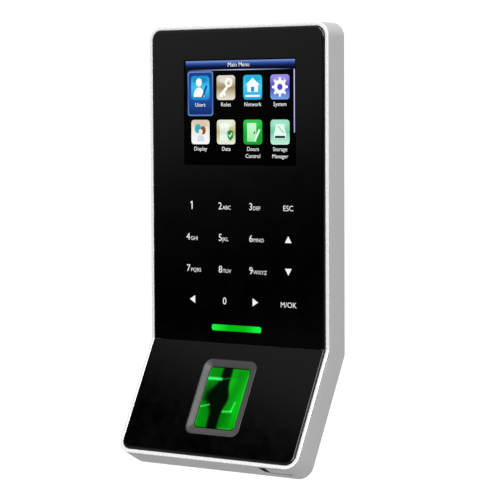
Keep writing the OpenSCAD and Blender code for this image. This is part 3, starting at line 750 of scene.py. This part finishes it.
def frameWithPort():
    points, faces = silverFrame()
    piece = addPiece("silver_frame", points, faces, finish["silverPaint"],
                     stands=["mid_frame"], sharp=25)
    c = casing
    left, front, back = c["doorLeft"], c["doorFront"], c["doorBack"]
    low, high = (c["wall"][i] - body["lowerLength"] for i in (0, 1))
    hole = plainMesh("port_hole", *boxPoints(sloped, left, c["doorRight"], front, back, low, high))
    # three-cornered finger notch through the wall beside the door
    x = np.array([left - c["notch"], left + 0.5 * mm, left + 0.5 * mm, left - 0.7 * c["notch"]])
    y = np.array([front + 0.2 * mm, front + 0.2 * mm, back - 0.2 * mm, back - 0.6 * mm])
    wedge = np.concatenate([sloped(x, y, low), sloped(x, y, high)])
    notch = plainMesh("port_notch", wedge, [
        (0, 1, 2, 3), (4, 7, 6, 5), (0, 4, 5, 1), (1, 5, 6, 2), (2, 6, 7, 3), (3, 7, 4, 0)])
    cutOut(piece, [hole, notch])
    piece.data.shade_smooth()
    piece.data.set_sharp_from_angle(angle=radians(25))


def spread(colours, places, at):
    # colours at the given places, blended linearly between them
    table = np.array([hexColour(code) for code in colours])
    return np.stack([np.interp(at, places, table[:, i]) for i in range(4)], 1)


capitalHeight = 0.69                # of the built-in face, for letters of size 1


class Picture:
    # flat coloured shapes stacked just proud of the upper glass; x and z are in mm from the
    # middle of the bend, and the shift is added to x
    def __init__(self, shift):
        self.points, self.faces, self.tints = [], [], []
        self.count = 0
        self.shift = shift

    def add(self, x, z, faces, tints, level):
        depth = -(0.012 + 0.004 * level) * mm
        self.points.append(upright((np.asarray(x) + self.shift) * mm, depth, np.asarray(z) * mm))
        self.faces += [[n + self.count for n in face] for face in faces]
        self.tints.append(tints)
        self.count += len(x)

    def tile(self, x0, x1, z0, z1, r, colours, level, places=None, across=False):
        # rounded rectangle in strips, its colours blending from top to bottom or from left to right
        if across:
            x0, x1, z0, z1 = -z1, -z0, x1, x0
        bend = r / abs(z1 - z0)
        corner = bend * (1 - np.cos(np.linspace(0, pi / 2, 6)))
        t = np.unique(np.concatenate([corner, 1 - corner, np.linspace(0, 1, 13)]))
        inside = np.clip(1 - np.minimum(t, 1 - t) / max(bend, 1e-6), 0, 1)
        reach = r * (1 - np.sqrt(1 - inside ** 2))
        z = z1 + (z0 - z1) * t
        rows = np.stack([x0 + reach, x1 - reach], 1).reshape(-1)
        high = np.repeat(z, 2)
        tints = spread(colours, places or np.linspace(0, 1, len(colours)), np.repeat(t, 2))
        x, up = (high, -rows) if across else (rows, high)
        self.add(x, up, gridFaces(len(t), 2), tints, level)

    def shape(self, outline, colour, level, corner=(0, 0)):
        # one filled outline of (x, z) points counted from the corner
        x, z = (np.array(outline, float) + corner).T
        faces = tessellate_polygon([[Vector((a, b, 0)) for a, b in zip(x, z)]])
        self.add(x, z, faces, np.tile(hexColour(colour), (len(x), 1)), level)

    def disc(self, x, z, rx, rz, colour, level, start=0, end=360):
        # ellipse, or the part of one between two angles in degrees
        a = np.radians(np.linspace(start, end, 22))
        if end - start == 360:
            a = a[:-1]
        self.shape(np.stack([x + rx * np.cos(a), z + rz * np.sin(a)], 1), colour, level)

    def ring(self, x, z, r, hole, colour, level):
        a = np.linspace(0, 2 * pi, 25)[:-1]
        rows = np.concatenate([[x + q * np.cos(a), z + q * np.sin(a)] for q in (r, hole)], 1)
        tints = np.tile(hexColour(colour), (rows.shape[1], 1))
        self.add(rows[0], rows[1], gridFaces(2, len(a), False, True), tints, level)

    def word(self, text, x, z, height, colour, level, align="CENTER"):
        # generic wording in the built-in face, its capitals the given height, in mm; returns the
        # right-hand end
        curve = bpy.data.curves.new("word", "FONT")
        curve.body = text
        curve.align_x = align
        curve.resolution_u = 3
        item = bpy.data.objects.new("word", curve)
        mesh = bpy.data.meshes.new_from_object(item)
        flat = np.empty(len(mesh.vertices) * 3)
        mesh.vertices.foreach_get("co", flat)
        flat = flat.reshape(-1, 3) * height / capitalHeight
        faces = [list(face.vertices) for face in mesh.polygons]
        tints = np.tile(hexColour(colour), (len(flat), 1))
        self.add(x + flat[:, 0], z + flat[:, 1], faces, tints, level)
        bpy.data.objects.remove(item)
        bpy.data.curves.remove(curve)
        bpy.data.meshes.remove(mesh)
        return x + flat[:, 0].max()

    def place(self, name, material, slot):
        # makes the mesh, every face turned to the front
        mesh = bpy.data.meshes.new(name)
        mesh.from_pydata(np.concatenate(self.points).tolist(), [], self.faces)
        tintPoints(mesh, np.concatenate(self.tints))
        work = bmesh.new()
        work.from_mesh(mesh)
        work.normal_update()
        bmesh.ops.reverse_faces(work, faces=[face for face in work.faces if face.normal.y > 0])
        bmesh.ops.dissolve_degenerate(work, dist=1e-7, edges=work.edges)
        work.to_mesh(mesh)
        work.free()
        mesh.materials.append(material)
        piece = linkObject(name, mesh)
        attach(piece, "terminal")


screen = {
    "shift": 1.05,                  # mm right of the middle
    "window": (-24.4, 25.0, 64.2, 102.2),
    "iconLeft": (-21.0, -9.5, 2.3, 14.1),
    "iconWidth": 8.2,
    "iconBase": (87.6, 71.7),
    "iconHeight": 8.8,
    "headerBase": 98.7,
    "headerRule": (98.2, 98.5),     # the thin line below the header
    "selected": (-22.6, -11.1, 81.9, 98.0),
    "selectedInner": (-22.1, -11.6, 82.4, 97.5),
    "scrollBar": (24.1, 24.6, 75.9, 98.3),
    "labels": ("Users", "Roles", "Network", "System",
               "Display", "Data", "Doors\nControl", "Storage\nManager"),
    "labelHeight": 1.4,
    "backs": (
        ("#0f8cc8", "#40c8f4", "#1880c4"), ("#e4e2d0", "#a08a58", "#f0ecdc"),
        ("#20b0dc", "#48ccf0", "#18a4dc"), ("#a098e8", "#4840c4", "#78a4ec"),
        ("#dccab0", "#f4f0e8", "#ffffff"), ("#eef2dc", "#c4b870", "#eef6e0"),
        ("#34cc54", "#10b030", "#18a038"), ("#a8e8cc", "#70d0a8", "#c8f4e0")),
}


def iconGlyph(p, number, x, z):
    # a small pictogram in a box eight wide, x and z its lower left corner
    white, level, corner = "#ffffff", 5, (x, z)
    if number == 0:
        p.disc(x + 3.5, z + 6.4, 1.35, 1.5, white, level)
        p.disc(x + 3.5, z + 1.2, 2.4, 3.4, white, level, 0, 180)
        p.shape([(4.7, 1.2), (5.4, 1.0), (7.4, 5.0), (6.7, 5.4)], "#0a3a90", level + 1, corner)
    elif number == 1:
        p.ring(x + 5.3, z + 6.2, 1.7, 0.8, white, level)
        p.shape([(4.6, 5.3), (1.3, 2.0), (1.3, 1.1), (2.4, 1.1), (5.3, 4.7)], white, level, corner)
        p.shape([(2.6, 2.2), (3.7, 1.4), (4.3, 2.0), (3.3, 2.9)], white, level, corner)
    elif number == 2:
        p.shape([(1.0, 5.2), (4.1, 7.8), (7.2, 5.2), (6.4, 5.2), (6.4, 2.8), (1.8, 2.8), (1.8, 5.2)],
                white, level, corner)
        p.tile(x + 0.9, x + 7.3, z + 1.0, z + 1.7, 0.2, [white, white], level)
        p.tile(x + 3.4, x + 4.8, z + 2.9, z + 4.6, 0.1, ["#1090d8", "#1090d8"], level + 1)
    elif number == 3:
        for turn in np.radians(np.arange(0, 360, 45)):
            c, s = cos(turn), sin(turn)
            tooth = [(4.1 + r * c - t * s, 4.4 + r * s + t * c)
                     for r, t in ((1.6, -0.55), (3.4, -0.42), (3.4, 0.42), (1.6, 0.55))]
            p.shape(tooth, white, level, corner)
        p.ring(x + 4.1, z + 4.4, 2.5, 1.15, white, level + 1)
    elif number == 4:
        p.disc(x + 3.0, z + 5.6, 1.5, 1.7, "#38b0c4", level)
        p.disc(x + 5.3, z + 5.0, 1.2, 1.5, "#8c4c34", level + 1)
        p.disc(x + 4.2, z + 4.5, 0.9, 1.0, "#f8e8d8", level + 2)
        p.disc(x + 4.2, z + 1.0, 1.7, 2.4, "#d0e0f0", level + 3, 0, 180)
    elif number == 5:
        p.tile(x + 1.3, x + 5.3, z + 1.7, z + 6.9, 0.1, [white, "#d8e8d8", white], level)
        p.disc(x + 3.3, z + 6.9, 2.0, 0.8, "#f8fff8", level + 1)
        p.disc(x + 3.3, z + 1.7, 2.0, 0.8, "#e8f4e8", level)
        p.shape([(4.6, 4.6), (6.0, 5.2), (7.4, 4.6), (7.2, 2.4), (6.0, 1.2), (4.8, 2.4)],
                "#189838", level + 2, corner)
        p.shape([(5.2, 3.2), (5.8, 2.5), (6.9, 4.0), (6.6, 4.2), (5.8, 3.1), (5.4, 3.5)],
                white, level + 3, corner)
    elif number == 6:
        p.tile(x + 1.6, x + 5.6, z + 1.0, z + 7.6, 0.15, ["#d8ffd8", "#90f0a0"], level)
        p.disc(x + 4.8, z + 4.2, 0.4, 0.45, "#10902c", level + 1)
        p.shape([(4.6, 1.2), (5.2, 1.0), (7.4, 5.2), (6.7, 5.5)], white, level + 2, corner)
    else:
        p.shape([(1.5, 3.8), (2.5, 7.2), (5.7, 7.2), (6.7, 3.8), (6.7, 2.2), (1.5, 2.2)],
                "#e8fff4", level, corner)
        p.shape([(2.9, 6.6), (3.3, 6.6), (5.9, 4.2), (5.5, 4.0)], "#70c8a4", level + 1, corner)
        p.tile(x + 1.9, x + 6.3, z + 2.3, z + 3.1, 0.1, ["#182858", "#0c1840"], level + 2)


def displayPicture():
    # the lit menu: header, two rows of icons with labels, one icon selected, and a scroll bar
    p = Picture(screen["shift"])
    x0, x1, z0, z1 = screen["window"]
    black = "#000000"
    p.tile(x0, x1, z0, z1, 0.3, [black, black], 0)
    header = ["#7a98e0", "#2c4c9c", "#0a1844", "#01020a"]
    p.tile(x0 + 1.0, x1 - 0.3, screen["headerBase"], z1 - 0.5, 0.1, header, 1)
    rule = [black, "#8898c8", "#c8d4f0", "#8898c8", black]
    p.tile(x0 + 1, x1 - 1, *screen["headerRule"], 0.05, rule, 2, across=True)
    p.word("Main Menu", 0.2, 99.5, 1.5, "#ffffff", 3)
    p.tile(*screen["selected"], 1.0, ["#6c8cd0", "#3868b0", "#5c84c8"], 2)
    p.tile(*screen["selectedInner"], 0.8, ["#1c3c88", "#2454a8", "#122c6c"], 3)
    for number in range(8):
        x = screen["iconLeft"][number % 4]
        z = screen["iconBase"][number // 4]
        w, h = screen["iconWidth"], screen["iconHeight"]
        backs = screen["backs"][number]
        p.tile(x, x + w, z, z + h, 1.2, backs, 4)
        p.disc(x + w / 2, z + h - 1.7, w / 2 - 1, 1.1, backs[0], 4.5)
        iconGlyph(p, number, x, z)
        for line, text in enumerate(screen["labels"][number].split("\n")):
            p.word(text, x + w / 2, z - 2.3 - 2.5 * line, screen["labelHeight"], "#ffffff", 5)
    p.tile(*screen["scrollBar"], 0.2, ["#c8c4f0", "#a8a4e0"], 4)
    p.place("display_picture", finish["litDisplay"], "display_glass")


keys = {
    "shift": 1.3,                   # mm right of the middle
    "columns": (-21.2, -6.7, 6.9, 21.3),
    "rows": (49.6, 38.2, 26.7, 15.3),
    "letters": (("2", "ABC", 1, 0), ("3", "DEF", 2, 0), ("4", "GHI", 0, 1), ("5", "JKL", 1, 1),
                ("6", "MNO", 2, 1), ("7", "PQRS", 0, 2), ("8", "TUV", 1, 2), ("9", "WXYZ", 2, 2)),
    "digitHeight": 2.5,
    "letterHeight": 1.35,
    "wordHeight": 1.9,
}


def keyLegends():
    # backlit digits, small letters after them, arrows and two words
    p = Picture(keys["shift"])
    white = "#f4f4f4"
    columns, rows = keys["columns"], keys["rows"]
    for digit, letters, column, row in keys["letters"]:
        x, z = columns[column] - 2.7, rows[row] - 1.3
        end = p.word(digit, x, z, keys["digitHeight"], white, 1, "LEFT")
        p.word(letters, end + 0.25, z, keys["letterHeight"], white, 1, "LEFT")
    # the digit one is a plain stroke with a short flag
    stroke = [(-0.2, -1.4), (0.25, -1.4), (0.25, 1.5), (-0.1, 1.5), (-0.75, 1.0), (-0.75, 0.65),
              (-0.2, 0.95)]
    p.shape(stroke, white, 1, (columns[0], rows[0]))
    p.word("0", columns[1], rows[3] - 1.3, keys["digitHeight"], white, 1)
    p.word("ESC", columns[3], rows[0] - 1.3, keys["wordHeight"], white, 1)
    p.word("M/OK", columns[3], rows[3] - 1.2, keys["wordHeight"], white, 1)
    for column, row, turn in ((3, 1, 90), (3, 2, 270), (0, 3, 180), (2, 3, 0)):
        c, s = cos(radians(turn)), sin(radians(turn))
        arrow = [(a * c - b * s, a * s + b * c) for a, b in ((-1.2, -1.45), (1.25, 0), (-1.2, 1.45))]
        p.shape(arrow, white, 1, (columns[column], rows[row]))
    p.place("key_legends", finish["litLegend"], "led_white")


status = {
    "bar": (-11.2, 10.7, 4.4, 6.6),
    "colours": ["#18ff40", "#10e030", "#00c010", "#00c010", "#10e030", "#18ff40"],
    "places": [0, 0.2, 0.32, 0.68, 0.8, 1],
}


def statusGlow():
    # the light bar's glow through its window, brightest at both ends
    p = Picture(0)
    p.tile(*status["bar"], 0.8, status["colours"], 1, places=status["places"], across=True)
    p.place("status_glow", finish["litGreen"], "status_green")


spring = {
    "wire": 0.18 * mm,              # wire radius
    "turns": 4,
    "travel": 1.5 * mm,             # the plunger's travel shortens it by this much
}


def tamperSpring():
    # wire carried along a helix (r cos t, p t, r sin t) whose end turns lie flat
    low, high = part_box("tamper_spring")
    middle = (np.array(low) + np.array(high)) / 2
    wire = spring["wire"]
    length = high[1] - low[1]
    r = (high[0] - low[0]) / 2 - wire
    t = np.linspace(0, 1, 161)[:, None]
    a = np.linspace(0, 2 * pi, 11)[:-1][None, :]
    turn = 2 * pi * spring["turns"] * t
    out = r + wire * np.cos(a)
    y = low[1] + wire + (length - 2 * wire) * np.clip((t - 0.12) / 0.76, 0, 1) + wire * np.sin(a)
    points = np.stack([middle[0] + out * np.cos(turn), y, middle[2] + out * np.sin(turn)], -1)
    rows, columns = points.shape[:2]
    faces = gridFaces(rows, columns, False, True)
    faces += [list(range(columns)), list(range((rows - 1) * columns, rows * columns))]
    coil = addPiece("tamper_coil", points, faces, finish["nickelSteel"],
                    stands=["tamper_spring"])
    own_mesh(coil)


trimRing()
frontPanel("upper_glass", "upper_front_panel", upright, body["upperLength"], 1,
           finish["printedGlass"])
opening = roundedLoop(sensor["width"] + 0.1 * mm, sensor["length"] + 0.1 * mm, 3 * mm)
opening[:, 1] += sensorMiddle
frontPanel("lower_fascia", "lower_front_panel", sloped, body["lowerLength"], -1, finish["glossFascia"],
           hole=opening)
sensorBezel()
sensorGlass()
frameWithPort()
tamperSpring()
print("casing pieces made")
displayPicture()
keyLegends()
statusGlow()
print("lit marks made")


dress(finish["darkAbs"], "rear_cover")
dress(finish["zincSteel"], "wall_plate", "display_backlight")
dress(finish["nickelSteel"], "lock_nut", "security_screw", "board_screws", "case_screws", "usb_socket",
      "usb_door_pin", "wifi_module", "power_capacitors", "coin_cell")
dress(finish["closedFoam"], "wall_gasket", "speaker_seal")
dress(finish["whitePlastic"], "keypad_light_guide", "power_connector", "lock_connector",
      "network_connector", "usb_contacts", "tamper_plunger", "reset_button", "status_light_bar")
dress(finish["boardMask"], "touch_board", "card_antenna", "main_board", "sensor_board", "usb_board")
dress(finish["mouldedEpoxy"], "processor", "memory_chips", "lock_relay", "speaker", "coin_cell_holder",
      "tamper_switch", "reset_switch", "sensor_housing", "sensor_camera", "display_cell")
dress(finish["polyimideFilm"], "display_flex", "touch_flex", "sensor_flex", "usb_flex")
dress(finish["goldPlate"], "wifi_antenna")
dress(finish["phosphorCap"], "keypad_leds", "status_leds", "sensor_leds")
dress(finish["silverPaint"], "usb_door")
print("CAD nodes dressed")


def addFloor():
    # one pale sheet, well below the object because it hangs on a wall; plain white to the eye
    material, tree, shader = startMaterial("pale_studio_floor", Roughness=0.9)
    grain(tree, shader, 40 * mm, "#b4b4b4", "#bcbcbc")
    lit = addNode(tree, "ShaderNodeEmission", {
        "Color": hexColour("#ffffff"), "Strength": studio["white"]})
    path = addNode(tree, "ShaderNodeLightPath")
    both = addNode(tree, "ShaderNodeMixShader", {}, {
        0: (path, "Is Camera Ray"), 1: (shader, "BSDF"), 2: (lit, "Emission")})
    tree.links.new(both.outputs["Shader"], tree.nodes["Material Output"].inputs["Surface"])
    half = studio["floorSize"] / 2
    mesh = bpy.data.meshes.new("floor")
    z = cadBounds[0][2] - studio["floorDrop"]
    corners = [(-half, -half, z), (half, -half, z), (half, half, z), (-half, half, z)]
    mesh.from_pydata(corners, [], [(0, 1, 2, 3)])
    mesh.materials.append(material)
    floor = linkObject("floor", mesh)


addFloor()
print("scene built")
